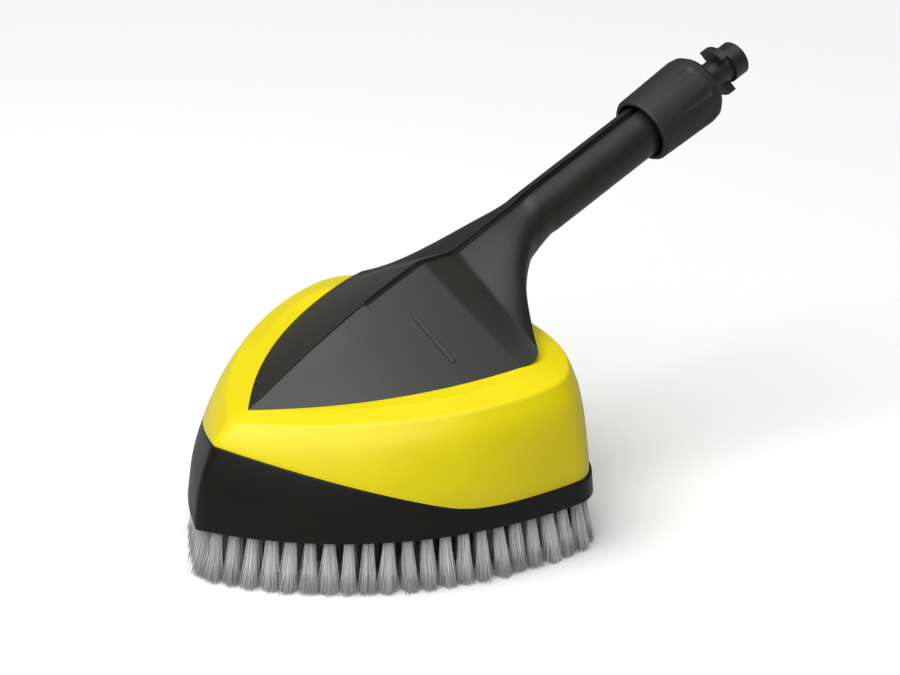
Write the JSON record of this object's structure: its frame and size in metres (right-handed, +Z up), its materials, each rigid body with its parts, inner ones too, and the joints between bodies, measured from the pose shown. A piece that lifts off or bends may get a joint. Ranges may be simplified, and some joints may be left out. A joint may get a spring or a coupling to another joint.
{
  "type": "pressure washer wash brush",
  "caption": "Iron-shaped wash brush with a bristle field, a yellow top shell, a black cover running into an angled handle, and a fluted union nut around a bayonet inlet.",
  "frame": {"origin": "middle of the overall box, on the surface the bristles stand on", "axes": "+X from the pointed nose towards the handle end, +Z up, the near and far sides are mirror images across Y"},
  "size_m": [0.4233, 0.232, 0.2275],
  "materials": {
    "black_casing": "moulded satin",
    "plate_plastic": "moulded matte",
    "yellow_shell": "semi gloss",
    "handle_plastic": "satin",
    "nut_plastic": "fine eroded grain",
    "washer_plastic": "plain",
    "steel": "zinc plated",
    "spigot_plastic": "satin",
    "seal_rubber": "smooth",
    "pipe_plastic": "smooth",
    "inner_plastic": "plain",
    "nozzle_brass": "turned",
    "bristle": "fine filaments"
  },
  "bodies": {
    "root": {"bar_clamp_left": "inner_plastic", "bar_clamp_right": "inner_plastic", "base_skirt": "black_casing", "bayonet_spigot": "spigot_plastic", "brush_plate": "plate_plastic", "clamp_screws": "steel", "cover_screws": "steel", "handle_screws": "steel", "handle_shell_left": "handle_plastic", "handle_shell_right": "handle_plastic", "nozzle_centre": "nozzle_brass", "nozzle_left": "nozzle_brass", "nozzle_right": "nozzle_brass", "pipe_seal": "seal_rubber", "plate_screws": "steel", "seal_nozzle_centre": "seal_rubber", "seal_nozzle_left": "seal_rubber", "seal_nozzle_right": "seal_rubber", "shell_screws": "steel", "snap_ring": "steel", "spigot_seal": "seal_rubber", "spray_bar": "inner_plastic", "top_shell": "yellow_shell", "tufts_eighth": "bristle", "tufts_fifth": "bristle", "tufts_fourth": "bristle", "tufts_outer": "bristle", "tufts_second": "bristle", "tufts_seventh": "bristle", "tufts_sixth": "bristle", "tufts_third": "bristle", "water_pipe": "pipe_plastic"},
    "nut_carrier": {"thrust_washer": "washer_plastic"},
    "nut": {"coupling_nut": "nut_plastic"}
  },
  "joints": [
    {"name": "nut_slide", "type": "slide", "parent": "root", "child": "nut_carrier", "axis": [0.9393, 0, 0.343], "range_m": [0, 0.025]},
    {"name": "nut_spin", "type": "hinge", "parent": "nut_carrier", "child": "nut", "pos_m": [0.1269, 0, 0.1877], "axis": [0.9393, 0, 0.343], "continuous": true}
  ]
}
